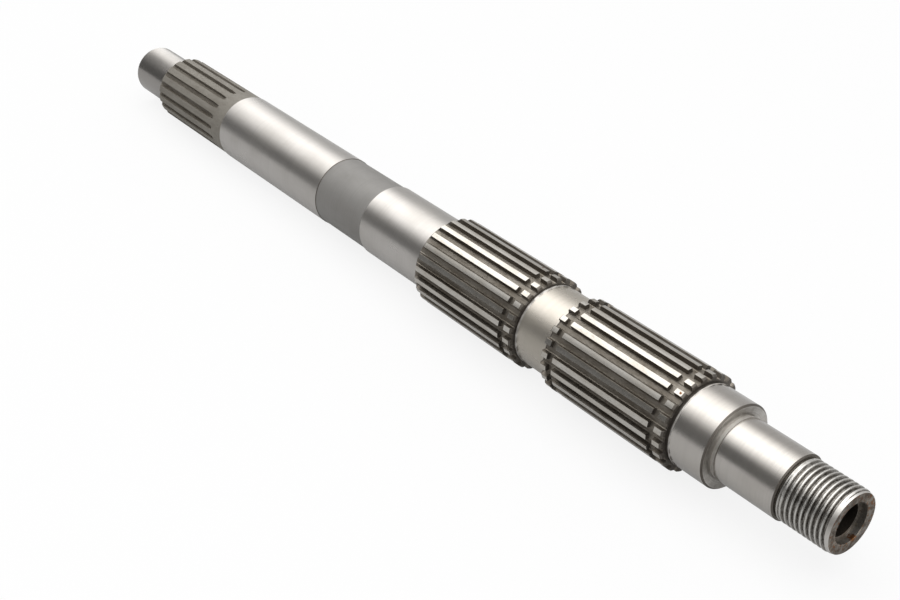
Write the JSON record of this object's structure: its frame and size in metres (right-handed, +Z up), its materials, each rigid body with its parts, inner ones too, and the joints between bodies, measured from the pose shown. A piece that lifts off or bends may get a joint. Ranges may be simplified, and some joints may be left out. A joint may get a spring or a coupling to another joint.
{
  "type": "transmission mainshaft",
  "caption": "Long stepped steel gearbox shaft with ground journals, toothed gear splines with ring grooves, a grooved clutch spline, a threaded end and a push-rod bore.",
  "frame": {"origin": "on the axis at the middle of the bearing seat", "axes": "+X along the axis towards the threaded end, +Z up with the shaft lying on its side"},
  "size_m": [0.3595, 0.0304, 0.0304],
  "materials": {
    "steel": "ground journals, machined splines, light oil and a few rust specks"
  },
  "bodies": {
    "root": {"mainshaft": "steel"}
  },
  "joints": []
}
